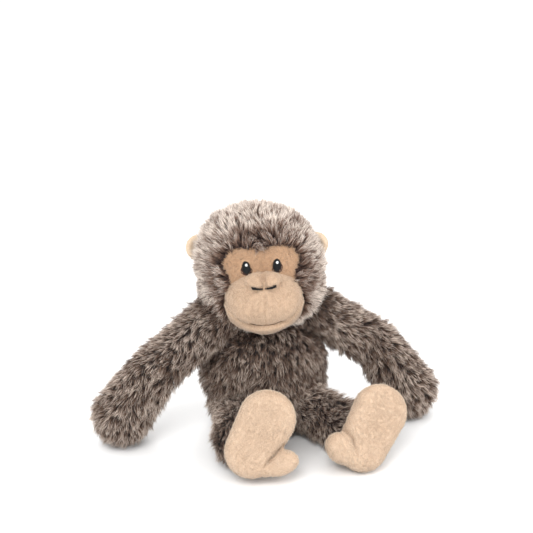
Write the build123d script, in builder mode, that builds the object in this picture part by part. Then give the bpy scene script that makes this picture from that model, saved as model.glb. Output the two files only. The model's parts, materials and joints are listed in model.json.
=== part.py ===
from build123d import *
from math import asin, cos, degrees, radians, sin, tan
import os

# A sitting plush monkey with long floppy arms, short legs and soft bare feet.
# Millimetres, +Z up. It faces -Y, so its left side is at +X. The origin is on the floor,
# under the middle of the flat seat. Each cover is a hollow cloth shell, and the filling
# inside it is a solid of its own.

# ---- cloth and clearances ----
WALL = 3.0  # backing cloth with the dense foot of its pile
GAP = 0.4  # clearance between parts that turn on each other
SLACK = 0.2  # clearance between a cover and its filling
FILL = WALL + SLACK

# ---- torso: (height, half width) of each ring, and its depth as a share of the width ----
TORSO_RINGS = [(0, 43), (9, 53), (30, 58), (56, 58), (80, 56), (97, 52), (109, 46), (117, 37)]
TORSO_DEPTH = 0.8
TORSO_HEIGHT = TORSO_RINGS[-1][0]
PELLET_BAG_AT = (0, 9, 20)  # it lies in the bottom of the torso, behind the hips
PELLET_BAG_HALF = (27, 13)  # half width and half height
PELLET_BAG_RIM = 2  # what its rounding leaves upright at the rim
POUCH_WALL = 1.0

# ---- neck and head ----
NECK_AT = Vector(0, 2, 117)
NECK_R = 19
NECK_DISH_R = 64.5  # the hollow in the top of the torso that the head rolls over
HEAD_AT = Vector(-7, -2, 176)
HEAD_R = 57
HEAD_YAW = -14  # rest pose: turned a little to its own right
HEAD_ROLL = -4  # rest pose: crown towards its own right
FACE_HALF_WIDTH = 37
FACE_LOW, FACE_HIGH = -28, 37  # from the middle of the head
FACE_CORNER_R = 20
MUZZLE_UP = -18  # from the middle of the head
MUZZLE_HALF = (36.5, 32)  # half width and half height
MUZZLE_ROOT, MUZZLE_FRONT, MUZZLE_ROUND = -17, -79, 24
MOUTH_HEIGHT, MOUTH_DROP = -26, 9  # the mouth seam: height at the cheeks, and its sag
NOSE_LOBE = (6.5, -68, 8)  # from the middle of the head, mirrored
NOSE_LOBE_R = 10
EYE_AT = (14.6, 18)  # across and up from the middle of the head
EYE_HALF = (4.2, 6.2)
GLINT_HALF, GLINT_SHIFT = 1.3, (0.6, 2.6)
STITCH = 0.9  # how far satin stitching stands off the cloth
NOSTRIL_AT, NOSTRIL_HALF = (7.0, 5.5), (5.0, 1.2)
EAR_AT = (56, 11, 16)  # from the middle of the head, mirrored
EAR_HALF_HEIGHT, EAR_THICKNESS = 14, 9

# ---- arms: shoulder, elbow and hand, given for the left arm ----
SHOULDER_AT = Vector(47, 0, 115)
SEAM_R = 12  # the gathered cloth where a limb is sewn to the torso
ROOT_ANGLE = 38  # half angle of the cone in which a limb starts
UPPER_ARM_R, UPPER_ARM_LENGTH = 21.5, 84
ELBOW_R = 21.5
FOREARM_LENGTH, HAND_R = 55, 23.5
HAND_POUCH_R = 14
UPPER_ARM_DROP, FOREARM_DROP = 27, 56  # below level
UPPER_ARM_FORWARD = {"left": 8, "right": 1}  # degrees forward of straight out
FOREARM_FORWARD = {"left": 20, "right": 3}

# ---- legs: hip, ankle and foot, given for the left leg ----
HIP_AT = Vector(33, -32, 30)
HIP_ROOM = 78  # half angle of the hollow in the torso that the root of a leg swings in
HIP_ROOM_DROP = 0.12  # how far that hollow points down for each unit forward
HIP_ROOM_REACH = 60
LEG_R = 23.0
LEG_LENGTH = {"left": 61, "right": 43}
LEG_DROP = {"left": 5, "right": 0}
LEG_SPLAY = {"left": 36, "right": 6}
FOOT_SPLAY = {"left": -2, "right": 12}  # which way the sole faces
FOOT_LEAN = {"left": 30, "right": -17}  # the foot's long axis, outwards from upright
SOLE_UPWARD = {"left": 30, "right": 23}  # the sole faces this much above level
FOOT_BACK = 19  # from the ankle to the back of the foot
FOOT_THICKNESS = 25
BALL_R, HEEL_R = 30, 24.5  # of the sole's outline
BALL_UP, HEEL_DOWN = 15, 17.5  # from the ankle, along the foot
TOE_R = 12.5
TOE_AT = (17, -27)  # inwards and up, from the ankle
TOE_REACH = 12
FOOT_INWARDS = {"left": -7, "right": 5}

FOOT_ROUND = 10.5  # edge rounding of the foot's pillow
SOLE_WALL = 2.0
HEEL_POUCH_R = 7.5

SIDES = {"right": -1, "left": 1}
FACING_BACK = Plane(origin=(0, 0, 0), x_dir=(1, 0, 0), z_dir=(0, 1, 0))


def save(part, name):
    """Labels a finished piece and writes its STEP file."""
    part.label = name
    export_step(part, f"parts/{name}.step")


def ball(centre, radius):
    with BuildPart() as made:
        with Locations(centre):
            Sphere(radius)
    return made.part


def without(base, *cutters):
    """A copy of base with each cutter taken away."""
    with BuildPart() as made:
        add(base)
        for cutter in cutters:
            add(cutter, mode=Mode.SUBTRACT)
    return made.part


def inside(base, *masks):
    """The part of base that lies in every mask."""
    with BuildPart() as made:
        add(base)
        for mask in masks:
            add(mask, mode=Mode.INTERSECT)
    return made.part


def halves(base, plane):
    """base cut in two by plane: the side its normal points to comes first."""
    with BuildPart() as above:
        add(base)
        split(bisect_by=plane, keep=Keep.TOP)
    with BuildPart() as below:
        add(base)
        split(bisect_by=plane, keep=Keep.BOTTOM)
    return above.part, below.part


# ---------------------------------------------------------------- torso
def torso_volume(inset):
    """The torso's egg, drawn in by inset all round: straight bands of cloth between its rings."""
    squeeze = (TORSO_HEIGHT - 2 * inset) / TORSO_HEIGHT
    with BuildPart() as made:
        for height, half_width in TORSO_RINGS:
            with BuildSketch(Plane.XY.offset(inset + height * squeeze)):
                Ellipse(half_width - inset, half_width * TORSO_DEPTH - inset)
        loft(ruled=True)
    return made.part


def pellet_cushion(inset):
    """The bag of pellets in the seat: a round, thick cushion, drawn in by inset."""
    half_width, half_height = [half - inset for half in PELLET_BAG_HALF]
    with BuildPart() as made:
        with BuildSketch(Plane(origin=PELLET_BAG_AT).offset(-half_height)):
            Circle(half_width)
        extrude(amount=2 * half_height)
        fillet(made.edges(), half_height - PELLET_BAG_RIM)
    return made.part


def mirrored_at(point, side):
    """point with its X turned to the given side."""
    return Vector(point.X * SIDES[side], point.Y, point.Z)


def make_torso():
    sockets = [ball(NECK_AT, NECK_R + GAP), ball(HEAD_AT, NECK_DISH_R)]
    for side in SIDES:
        sockets.append(ball(mirrored_at(SHOULDER_AT, side), SEAM_R + GAP))
        sockets.append(hip_room(side, SEAM_R + GAP))
    shell = without(torso_volume(0), torso_volume(WALL), *sockets)
    back, front = halves(shell, FACING_BACK)
    back_left, back_right = halves(back, Plane.YZ)
    save(front, "torso_front_panel")
    save(back_left, "torso_back_left_panel")
    save(back_right, "torso_back_right_panel")

    save(without(pellet_cushion(0), pellet_cushion(POUCH_WALL)), "seat_pellet_bag")
    save(pellet_cushion(POUCH_WALL + SLACK), "seat_pellets")

    cut = [ball(NECK_AT, NECK_R + FILL), ball(HEAD_AT, NECK_DISH_R + FILL)]
    for side in SIDES:
        cut.append(ball(mirrored_at(SHOULDER_AT, side), SEAM_R + FILL))
        cut.append(hip_room(side, SEAM_R + FILL))
    save(without(torso_volume(FILL), pellet_cushion(-SLACK), *cut), "torso_stuffing")


def hip_room(side, seat_radius):
    """The seat of a hip's seam, and the wide hollow in front of it that the leg's root swings in."""
    axis = Vector(0, -1, -HIP_ROOM_DROP).normalized()
    plane = Plane(origin=mirrored_at(HIP_AT, side), x_dir=axis, z_dir=(SIDES[side], 0, 0))
    with BuildPart() as made:
        with BuildSketch(plane):
            with BuildLine():
                seat = CenterArc((0, 0), seat_radius, HIP_ROOM, 180 - HIP_ROOM)
                mouth = (HIP_ROOM_REACH, HIP_ROOM_REACH * tan(radians(HIP_ROOM)))
                Polyline(seat @ 0, mouth, (HIP_ROOM_REACH, 0), seat @ 1)
            make_face()
        revolve(axis=Axis(plane.origin, plane.x_dir))
    return made.part


# ---------------------------------------------------------------- neck and head
def head_location():
    """The head's own frame at rest: turned and rolled on the neck."""
    return Location(HEAD_AT) * Location((0, 0, 0), (0, HEAD_ROLL, HEAD_YAW))


def muzzle_volume(inset):
    """The muzzle: a deep oval cushion across the face, with two small nose lobes on it."""
    half_width, half_height = [half - inset for half in MUZZLE_HALF]
    with BuildPart() as made:
        with BuildSketch(Plane.XZ.offset(-MUZZLE_ROOT)):
            with Locations((0, MUZZLE_UP)):
                Ellipse(half_width, half_height)
        extrude(amount=MUZZLE_ROOT - MUZZLE_FRONT - inset)
        fillet(made.faces().sort_by(Axis.Y)[0].edges(), MUZZLE_ROUND - inset)
        for way in (-1, 1):
            with Locations((way * NOSE_LOBE[0], NOSE_LOBE[1], NOSE_LOBE[2])):
                Sphere(NOSE_LOBE_R - inset)
    return made.part


def mouth_mask():
    """Everything below the mouth seam, which sags in an arc from cheek to cheek."""
    reach = MUZZLE_HALF[0] + 10
    with BuildPart() as made:
        with BuildSketch(Plane.XZ):
            with BuildLine():
                seam = ThreePointArc(
                    (-reach, MOUTH_HEIGHT), (0, MOUTH_HEIGHT - MOUTH_DROP), (reach, MOUTH_HEIGHT)
                )
                Polyline(seam @ 1, (reach, -100), (-reach, -100), seam @ 0)
            make_face()
        extrude(amount=2 * HEAD_R)
    return made.part


def face_mask():
    """A bar through the front of the head with the outline of the bare face."""
    with BuildPart() as made:
        with BuildSketch(Plane.XZ):
            with Locations((0, (FACE_LOW + FACE_HIGH) / 2)):
                RectangleRounded(2 * FACE_HALF_WIDTH, FACE_HIGH - FACE_LOW, FACE_CORNER_R)
        extrude(amount=2 * HEAD_R)
    return made.part


def oval_bar(across, up, half_across, half_up):
    """A bar through the front of the head with an oval section, for a stitched patch."""
    with BuildPart() as made:
        with BuildSketch(Plane.XZ):
            with Locations((across, up)):
                Ellipse(half_across, half_up)
        extrude(amount=3 * HEAD_R)
    return made.part


def ear_volume(side):
    """A round cushion of cloth that stands out from the side of the head."""
    way = SIDES[side]
    centre = (way * EAR_AT[0], EAR_AT[1], EAR_AT[2])
    plane = Plane(origin=centre, x_dir=(1, 0, 0), z_dir=(0, -1, 0))
    with BuildPart() as made:
        with BuildSketch(plane.offset(-EAR_THICKNESS / 2)):
            Circle(EAR_HALF_HEIGHT)
        extrude(amount=EAR_THICKNESS)
        fillet(made.edges(), EAR_THICKNESS / 2 - 0.6)
    return made.part


def make_head():
    at = head_location()
    neck_room = at.inverse() * ball(NECK_AT, NECK_R + GAP)
    neck_fill_room = at.inverse() * ball(NECK_AT, NECK_R + FILL)
    skull, inner = ball((0, 0, 0), HEAD_R), ball((0, 0, 0), HEAD_R - WALL)
    shell = without(skull, inner, neck_room)
    muzzle, face = muzzle_volume(0), face_mask()

    fur = without(shell, face)
    left, right = halves(fur, Plane.YZ)
    bare = without(inside(shell, face), muzzle)
    pieces = {
        "head_left_panel": left,
        "head_right_panel": right,
        "face_panel": bare,
        "head_stuffing": without(ball((0, 0, 0), HEAD_R - FILL), neck_fill_room),
    }

    cover = without(muzzle, muzzle_volume(WALL), skull)
    upper = without(cover, mouth_mask())
    pieces["muzzle_left_panel"], pieces["muzzle_right_panel"] = halves(upper, Plane.YZ)
    pieces["chin_panel"] = inside(cover, mouth_mask())
    pieces["muzzle_stuffing"] = without(muzzle_volume(FILL), ball((0, 0, 0), HEAD_R + SLACK))

    for side, way in SIDES.items():
        across, up = way * EYE_AT[0], EYE_AT[1]
        glint = oval_bar(across + GLINT_SHIFT[0], up + GLINT_SHIFT[1], GLINT_HALF, GLINT_HALF * 1.2)
        eye_skin = without(ball((0, 0, 0), HEAD_R + STITCH), skull)
        glint_skin = without(ball((0, 0, 0), HEAD_R + 1.5 * STITCH), ball((0, 0, 0), HEAD_R + STITCH))
        pieces[f"eye_{side}"] = inside(eye_skin, oval_bar(across, up, *EYE_HALF))
        pieces[f"eye_glint_{side}"] = inside(glint_skin, glint)
        lobe = (way * NOSE_LOBE[0], NOSE_LOBE[1], NOSE_LOBE[2])
        nostril_skin = without(ball(lobe, NOSE_LOBE_R + STITCH), muzzle)
        slot = oval_bar(way * NOSTRIL_AT[0], NOSTRIL_AT[1], *NOSTRIL_HALF)
        pieces[f"nostril_{side}"] = inside(nostril_skin, slot)
        ear = without(ear_volume(side), skull)
        back, front = halves(ear, FACING_BACK.offset(EAR_AT[1]))
        pieces[f"ear_{side}_front_panel"], pieces[f"ear_{side}_back_panel"] = front, back

    for name, part in pieces.items():
        save(at * part, name)


def make_neck():
    save(ball(NECK_AT, NECK_R), "neck_stuffing_plug")


# ---------------------------------------------------------------- arms
def direction(side, forward, drop):
    """A unit vector straight out to one side, swung forward and down by those angles."""
    level = cos(radians(drop))
    return Vector(
        SIDES[side] * level * cos(radians(forward)), -level * sin(radians(forward)), -sin(radians(drop))
    )


def arm_planes(side):
    """The upper arm's and the forearm's planes: X runs down the limb, Z is the elbow's axis."""
    upper = direction(side, UPPER_ARM_FORWARD[side], UPPER_ARM_DROP)
    lower = direction(side, FOREARM_FORWARD[side], FOREARM_DROP)
    shoulder = mirrored_at(SHOULDER_AT, side)
    axis = upper.cross(lower).normalized()
    first = Plane(origin=shoulder, x_dir=upper, z_dir=axis)
    second = Plane(origin=shoulder + upper * UPPER_ARM_LENGTH, x_dir=lower, z_dir=axis)
    return first, second


def root_line(radius, inset):
    """Where a limb's cone leaves the ball of its seam, and where it reaches the limb's own radius."""
    hollow = SEAM_R + GAP + inset
    opening = radians(ROOT_ANGLE) - asin(inset / hollow)
    full = inset / sin(radians(ROOT_ANGLE)) + (radius - inset) / tan(radians(ROOT_ANGLE))
    return hollow, opening, (full, radius - inset)


def upper_arm_volume(plane, inset):
    """A tube that starts in a cone at the shoulder seam and ends in a cone round the elbow."""
    hollow, opening, full = root_line(UPPER_ARM_R, inset)
    end = UPPER_ARM_LENGTH - (ELBOW_R + GAP + inset) / cos(radians(45))
    with BuildPart() as made:
        with BuildSketch(plane):
            with BuildLine():
                root = CenterArc((0, 0), hollow, 0, degrees(opening))
                Polyline(root @ 1, full, (end + full[1], full[1]), (end, 0), root @ 0)
            make_face()
        revolve(axis=Axis(plane.origin, plane.x_dir))
    return made.part


def forearm_volume(plane, inset):
    """A tube from the ball of the elbow to the round, fingerless hand."""
    elbow, hand = ELBOW_R - inset, HAND_R - inset
    with BuildPart() as made:
        with BuildSketch(plane):
            with BuildLine():
                near = CenterArc((0, 0), elbow, 90, 90)
                far = CenterArc((FOREARM_LENGTH, 0), hand, 0, 90)
                Line(near @ 0, far @ 1)
                Line(far @ 0, near @ 1)
            make_face()
        revolve(axis=Axis(plane.origin, plane.x_dir))
    return made.part


def make_arm(side):
    first, second = arm_planes(side)
    hand = second.origin + second.x_dir * FOREARM_LENGTH
    save(ball(first.origin, SEAM_R), f"shoulder_{side}_seam")
    save(without(upper_arm_volume(first, 0), upper_arm_volume(first, WALL)), f"upper_arm_{side}_cover")
    save(upper_arm_volume(first, FILL), f"upper_arm_{side}_stuffing")
    save(without(forearm_volume(second, 0), forearm_volume(second, WALL)), f"forearm_{side}_cover")
    save(without(forearm_volume(second, FILL), ball(hand, HAND_POUCH_R + SLACK)), f"forearm_{side}_stuffing")
    save(ball(hand, HAND_POUCH_R), f"hand_{side}_pellet_bag")


# ---------------------------------------------------------------- legs and feet
def leg_plane(side):
    """The leg's plane: X runs from the hip to the ankle."""
    axis = direction(side, 90 - LEG_SPLAY[side], LEG_DROP[side])
    level = Vector(-axis.Y, axis.X, 0).normalized()
    return Plane(origin=mirrored_at(HIP_AT, side), x_dir=axis, z_dir=level)


def leg_volume(side, inset):
    """A short tube that starts in a cone at the hip seam and ends in the ball of the ankle."""
    plane, length = leg_plane(side), LEG_LENGTH[side]
    hollow, opening, full = root_line(LEG_R, inset)
    with BuildPart() as made:
        with BuildSketch(plane):
            with BuildLine():
                root = CenterArc((0, 0), hollow, 0, degrees(opening))
                ankle = CenterArc((length, 0), full[1], 0, 90)
                Polyline(root @ 1, full, ankle @ 1)
                Line(ankle @ 0, root @ 0)
            make_face()
        revolve(axis=Axis(plane.origin, plane.x_dir))
    return made.part


def foot_plane(side):
    """The foot's plane at the ankle: X is across it, Y runs up the foot and Z is out of the sole."""
    leg = leg_plane(side)
    ankle = leg.origin + leg.x_dir * LEG_LENGTH[side]
    normal = direction(side, 90 - FOOT_SPLAY[side], -SOLE_UPWARD[side])
    level = Vector(0, 0, 1).cross(normal).normalized()
    across = level.rotate(Axis((0, 0, 0), normal), -SIDES[side] * FOOT_LEAN[side])
    return Plane(origin=ankle, x_dir=across, z_dir=normal)


def foot_volume(side, inset):
    """A pillow with the sole's outline, and the big toe that folds out near the heel."""
    base = foot_plane(side)
    inwards = -SIDES[side]
    shift = inwards * FOOT_INWARDS[side]
    with BuildPart() as made:
        with BuildSketch(base.offset(FOOT_BACK + inset)):
            with Locations((shift, BALL_UP)):
                Circle(BALL_R - inset)
            with Locations((shift, -HEEL_DOWN)):
                Circle(HEEL_R - inset)
            make_hull()
        extrude(amount=FOOT_THICKNESS - 2 * inset)
        fillet(made.edges(), FOOT_ROUND - inset / 2)
        toe = base.offset(FOOT_BACK + FOOT_THICKNESS / 2)
        root = toe.from_local_coords((shift + inwards * (TOE_AT[0] - TOE_REACH), TOE_AT[1] - 3, 0))
        tip = toe.from_local_coords((shift + inwards * (TOE_AT[0] + TOE_REACH), TOE_AT[1] + 5, 2))
        with Locations(tip):
            Sphere(TOE_R - inset)
        with Locations(root):
            Sphere(TOE_R - inset)
        with BuildSketch(Plane(origin=root, z_dir=tip - root)):
            Circle(TOE_R - inset)
        extrude(amount=(tip - root).length)
    return made.part


def make_leg(side):
    plane = leg_plane(side)
    base = foot_plane(side)
    socket = ball(base.origin, LEG_R + GAP)
    save(ball(plane.origin, SEAM_R), f"hip_{side}_seam")
    save(without(leg_volume(side, 0), leg_volume(side, WALL)), f"leg_{side}_cover")
    save(leg_volume(side, FILL), f"leg_{side}_stuffing")

    shell = without(foot_volume(side, 0), foot_volume(side, SOLE_WALL), socket)
    seam_plane = base.offset(FOOT_BACK + FOOT_THICKNESS / 2)
    sole, top = halves(shell, seam_plane)
    save(sole, f"foot_{side}_sole_panel")
    save(top, f"foot_{side}_top_panel")
    filling = without(foot_volume(side, SOLE_WALL + SLACK), ball(base.origin, LEG_R + GAP + SOLE_WALL))
    heel = base.offset(FOOT_BACK + FOOT_THICKNESS / 2).from_local_coords((0, -HEEL_DOWN, 0))
    save(without(filling, ball(heel, HEEL_POUCH_R + SLACK)), f"foot_{side}_stuffing")
    save(ball(heel, HEEL_POUCH_R), f"foot_{side}_pellet_bag")


os.makedirs("parts", exist_ok=True)
make_torso()
make_neck()
make_head()
for each_side in SIDES:
    make_arm(each_side)
    make_leg(each_side)
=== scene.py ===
"""Looks of a sitting plush monkey: stuffed covers, long frosted pile, bare plush face, ears and feet."""

import json
import logging
import math
from dataclasses import dataclass, field, replace
from enum import Enum
from functools import cache
from typing import Callable, Optional, Sequence

import bpy
import numpy as np
from mathutils import Matrix, Vector, kdtree


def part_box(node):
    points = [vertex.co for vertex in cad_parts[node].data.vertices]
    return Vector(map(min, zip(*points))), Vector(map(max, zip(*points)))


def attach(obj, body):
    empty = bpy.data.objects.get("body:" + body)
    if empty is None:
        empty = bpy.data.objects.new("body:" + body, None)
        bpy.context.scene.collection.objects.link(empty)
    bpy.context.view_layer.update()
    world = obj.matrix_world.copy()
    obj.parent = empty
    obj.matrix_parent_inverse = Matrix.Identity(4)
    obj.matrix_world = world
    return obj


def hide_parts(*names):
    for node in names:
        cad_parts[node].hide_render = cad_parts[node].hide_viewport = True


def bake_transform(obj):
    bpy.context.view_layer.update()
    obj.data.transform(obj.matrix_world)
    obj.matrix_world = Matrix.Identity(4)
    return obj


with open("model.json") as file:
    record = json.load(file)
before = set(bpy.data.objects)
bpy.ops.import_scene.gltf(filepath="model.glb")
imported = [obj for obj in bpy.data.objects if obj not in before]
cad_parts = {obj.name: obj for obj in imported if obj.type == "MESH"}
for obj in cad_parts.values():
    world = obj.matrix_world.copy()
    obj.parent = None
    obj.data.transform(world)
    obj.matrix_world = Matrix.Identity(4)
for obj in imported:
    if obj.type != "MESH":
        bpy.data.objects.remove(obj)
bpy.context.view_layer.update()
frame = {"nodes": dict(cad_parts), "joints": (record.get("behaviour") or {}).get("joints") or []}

MM = 0.001
UP = Vector((0.0, 0.0, 1.0))
LOG = logging.getLogger("monkey")

Field = Callable[[np.ndarray], np.ndarray]
Colour = tuple[int, int, int]
Oval = tuple[float, float, float, float]


class Side(Enum):
    """The toy's own left and right, with the sign of X there."""

    RIGHT = -1
    LEFT = 1

    @property
    def word(self) -> str:
        """The side's name as the frame's nodes spell it."""
        return self.name.lower()


class Strand(Enum):
    """How one strand of pile is built: bent in two lengths, or one short straight spike."""

    BENT = "bent"
    SPIKE = "spike"


# ---------------------------------------------------------------- small helpers
def centre_of(node: str) -> Vector:
    """The middle of a frame node's box."""
    low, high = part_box(node)
    return (low + high) / 2


def joint_at(name: str) -> Vector:
    """Where the frame's joint of that name turns."""
    return Vector(next(j for j in frame["joints"] if j["name"] == name)["pos_m"])


def unit(rows: np.ndarray) -> np.ndarray:
    """Each row scaled to length 1."""
    return rows / np.maximum(np.linalg.norm(rows, axis=1, keepdims=True), 1e-9)


def wobble(points: np.ndarray, size: float, rng: np.random.Generator) -> np.ndarray:
    """A smooth random value from about -1 to 1 at each point, with patches of about the given size.

    Args:
        points: rows of X, Y, Z in metres.
        size: how far apart light and dark patches lie.
        rng: where the random directions come from.

    Returns:
        One value for each point.
    """
    total = np.zeros(len(points))
    for _ in range(6):
        way = rng.normal(size=3)
        total += np.sin(points @ (way / np.linalg.norm(way)) * (2 * math.pi / size) * rng.uniform(0.6, 1.5)
                        + rng.uniform(0, 2 * math.pi))
    return total / 3.0


def smooth_step(value: np.ndarray, low: float, high: float) -> np.ndarray:
    """0 below low, 1 above high, and a smooth rise between."""
    t = np.clip((value - low) / (high - low), 0, 1)
    return t * t * (3 - 2 * t)


# ---------------------------------------------------------------- materials
MIX_FIRST, MIX_SECOND, MIX_RESULT = 6, 7, 2


class Wiring:
    """Puts nodes into a material or a group, and joins them."""

    def __init__(self, tree: bpy.types.NodeTree) -> None:
        """Starts on an empty tree."""
        self.tree = tree
        tree.nodes.clear()

    def node(self, kind: str, inputs: Optional[dict] = None, **settings: object) -> bpy.types.Node:
        """Adds a node.

        Args:
            kind: the node's type, without its ShaderNode prefix.
            inputs: socket name or number to a value or to another node's output.
            settings: the node's own properties.

        Returns:
            The new node.
        """
        prefix = "" if kind.startswith("NodeGroup") else "ShaderNode"
        made = self.tree.nodes.new(prefix + kind)
        for name, setting in settings.items():
            setattr(made, name, setting)
        for key, value in (inputs or {}).items():
            if isinstance(value, bpy.types.NodeSocket):
                self.tree.links.new(value, made.inputs[key])
            else:
                made.inputs[key].default_value = value
        return made

    def mix(self, share: object, first: object, second: object) -> bpy.types.NodeSocket:
        """A colour between first and second."""
        inputs = {"Factor": share, MIX_FIRST: first, MIX_SECOND: second}
        return self.node("Mix", inputs, data_type="RGBA").outputs[MIX_RESULT]

    def math(self, operation: str, *values: object) -> bpy.types.NodeSocket:
        """One step of arithmetic, kept as it comes."""
        return self.node("Math", dict(enumerate(values)), operation=operation).outputs[0]


    def weigh(self, *terms: tuple[bpy.types.NodeSocket, float]) -> bpy.types.NodeSocket:
        """The sum of some values, each times its weight."""
        total, *rest = (self.math("MULTIPLY", value, weight) for value, weight in terms)
        for part in rest:
            total = self.math("ADD", total, part)
        return total

    def attribute(self, name: str) -> bpy.types.NodeSocket:
        """A value kept at each point of the piece's mesh."""
        return self.node("Attribute", attribute_name=name).outputs["Fac"]

    def place(self) -> bpy.types.NodeSocket:
        """The place on the piece."""
        return self.node("TexCoord").outputs["Object"]

    def bump(self, height: bpy.types.NodeSocket, strength: float, distance: float,
             invert: bool = False) -> bpy.types.NodeSocket:
        """Normals that follow a height, or its inverse."""
        inputs = {"Height": height, "Strength": strength, "Distance": distance}
        return self.node("Bump", inputs, invert=invert).outputs[0]


def linear(colour: Colour) -> tuple[float, float, float, float]:
    """A colour given as on a display, 0 to 255, in the linear values that nodes take."""
    shares = (channel / 255 for channel in colour)
    return (*(s / 12.92 if s <= 0.04045 else ((s + 0.055) / 1.055) ** 2.4 for s in shares), 1.0)


def new_group(name: str, inputs: dict[str, str], outputs: dict[str, str]) -> bpy.types.NodeTree:
    """A shader group with its sockets.

    Args:
        name: the group's name.
        inputs: what goes in: each socket's name and type.
        outputs: what comes out: each socket's name and type.

    Returns:
        The empty group.
    """
    group = bpy.data.node_groups.new(name, "ShaderNodeTree")
    for way, sockets in (("INPUT", inputs), ("OUTPUT", outputs)):
        for label, kind in sockets.items():
            group.interface.new_socket(name=label, in_out=way, socket_type=f"NodeSocket{kind}")
    return group


@cache
def frosting_group() -> bpy.types.NodeTree:
    """Colour along a dyed strand: dark at the root, mid tone, and a bleached tip, shifted strand by strand."""
    inputs = {"Along": "Float", "Tone": "Float", "Root": "Color", "Middle": "Color", "Tip": "Color"}
    group = new_group("frosting", inputs, {"Color": "Color"})
    w = Wiring(group)
    source = w.node("NodeGroupInput").outputs
    shift = w.math("MULTIPLY", w.math("SUBTRACT", source["Tone"], 0.5), 0.75)
    shifted = w.math("ADD", source["Along"], shift)
    colour = source["Root"]
    for start, end, label in ((0.05, 0.5, "Middle"), (0.5, 1.05, "Tip")):
        share = w.node("MapRange", {"Value": shifted, "From Min": start, "From Max": end},
                       interpolation_type="SMOOTHSTEP")
        colour = w.mix(share.outputs[0], colour, source[label])
    w.node("NodeGroupOutput", {"Color": colour})
    return group


@cache
def nap_group() -> bpy.types.NodeTree:
    """The cloudy shade and fine grain of short brushed pile, at a place and for a scale of grain."""
    group = new_group("brushed_nap", {"Place": "Vector", "Grain": "Float"},
                      {"Shade": "Float", "Height": "Float"})
    w = Wiring(group)
    source = w.node("NodeGroupInput").outputs
    cloud = w.node("TexNoise", {"Vector": source["Place"], "Scale": 60.0, "Detail": 2.0}).outputs[0]
    grain = w.node("TexNoise", {"Vector": source["Place"], "Scale": source["Grain"], "Detail": 2.0}).outputs[0]
    w.node("NodeGroupOutput", {"Shade": w.weigh((cloud, 0.25), (grain, 0.75)), "Height": grain})
    return group


@dataclass(frozen=True)
class Finish:
    """A finish by its name. Each kind says what it feeds to the surface shader."""

    name: str

    def surface(self, w: Wiring) -> dict[str, object]:
        """The surface shader's inputs."""
        raise NotImplementedError

    def material(self) -> bpy.types.Material:
        """Builds the finish."""
        made = bpy.data.materials.new(self.name)
        made.use_nodes = True
        w = Wiring(made.node_tree)
        shader = w.node("BsdfPrincipled", self.surface(w))
        w.node("OutputMaterial", {"Surface": shader.outputs[0]})
        return made


@dataclass(frozen=True)
class FrostedPile(Finish):
    """Long polyester pile, dyed dark and bleached at the tips."""

    root: Colour
    middle: Colour
    tip: Colour

    def surface(self, w: Wiring) -> dict[str, object]:
        """Colour that runs along each strand."""
        inputs = {"Along": w.attribute("along"), "Tone": w.attribute("tone"), "Root": linear(self.root),
                  "Middle": linear(self.middle), "Tip": linear(self.tip)}
        colour = w.node("Group", inputs, node_tree=frosting_group())
        return {"Base Color": colour.outputs[0], "Roughness": 0.62, "Specular IOR Level": 0.28,
                "Sheen Weight": 0.12, "Sheen Roughness": 0.5}


@dataclass(frozen=True)
class ShortPlush(Finish):
    """Short brushed plush: its backing shows darker between the fine lighter tips."""

    deep: Colour
    light: Colour
    grain: float = 900.0

    def surface(self, w: Wiring) -> dict[str, object]:
        """Colour from deep to light, up each strand and by the nap's clouds."""
        nap = w.node("Group", {"Place": w.place(), "Grain": self.grain}, node_tree=nap_group())
        share = w.weigh((w.attribute("along"), 0.45), (w.attribute("tone"), 0.3), (nap.outputs["Shade"], 0.6))
        return {"Base Color": w.mix(share, linear(self.deep), linear(self.light)), "Roughness": 0.82,
                "Specular IOR Level": 0.2, "Sheen Weight": 0.25, "Sheen Roughness": 0.4,
                "Normal": w.bump(nap.outputs["Height"], 0.35, 0.0006)}


@dataclass(frozen=True)
class SatinThread(Finish):
    """Shiny embroidery thread with the fine slant of its plies, their sheen painted into its colour."""

    dark: Colour
    light: Colour

    def surface(self, w: Wiring) -> dict[str, object]:
        """Fine slanting bands of dark and light: painted sheen of the plies, which also give the bumps."""
        ply_bands_and_sheen = w.node("TexWave", {"Vector": w.place(), "Scale": 900.0, "Distortion": 2.0, "Detail": 1.0},
                       bands_direction="DIAGONAL").outputs["Fac"]
        return {"Base Color": w.mix(ply_bands_and_sheen, linear(self.dark), linear(self.light)), "Roughness": 0.42,
                "Specular IOR Level": 0.35, "Normal": w.bump(ply_bands_and_sheen, 0.4, 0.0001)}


@dataclass(frozen=True)
class LooseFill(Finish):
    """What lies inside: fluffy fibre, plain woven pouch cloth or plastic beads, told apart by grain."""

    dark: Colour
    light: Colour
    scale: float
    roughness: float
    cells: bool

    def surface(self, w: Wiring) -> dict[str, object]:
        """A pattern of round cells or of soft clouds."""
        inputs = {"Vector": w.place(), "Scale": self.scale}
        if self.cells:
            pattern = w.node("TexVoronoi", inputs).outputs["Distance"]
        else:
            pattern = w.node("TexNoise", {**inputs, "Detail": 6.0}).outputs[0]
        return {"Base Color": w.mix(pattern, linear(self.light), linear(self.dark)),
                "Roughness": self.roughness, "Normal": w.bump(pattern, 0.5, 0.0008, self.cells)}


@dataclass(frozen=True)
class FloorPaper(Finish):
    """Pale matt paper with a faint grain."""

    def surface(self, w: Wiring) -> dict[str, object]:
        """Two close greys."""
        grain = w.node("TexNoise", {"Vector": w.place(), "Scale": 30.0, "Detail": 2.0}).outputs[0]
        return {"Base Color": w.mix(grain, (0.93, 0.93, 0.93, 1), (0.95, 0.95, 0.945, 1)), "Roughness": 0.95,
                "Specular IOR Level": 0.05}


def built(finish: Finish) -> bpy.types.Material:
    """A field that holds the finish's material, built with the others."""
    return field(default_factory=finish.material)


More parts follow.
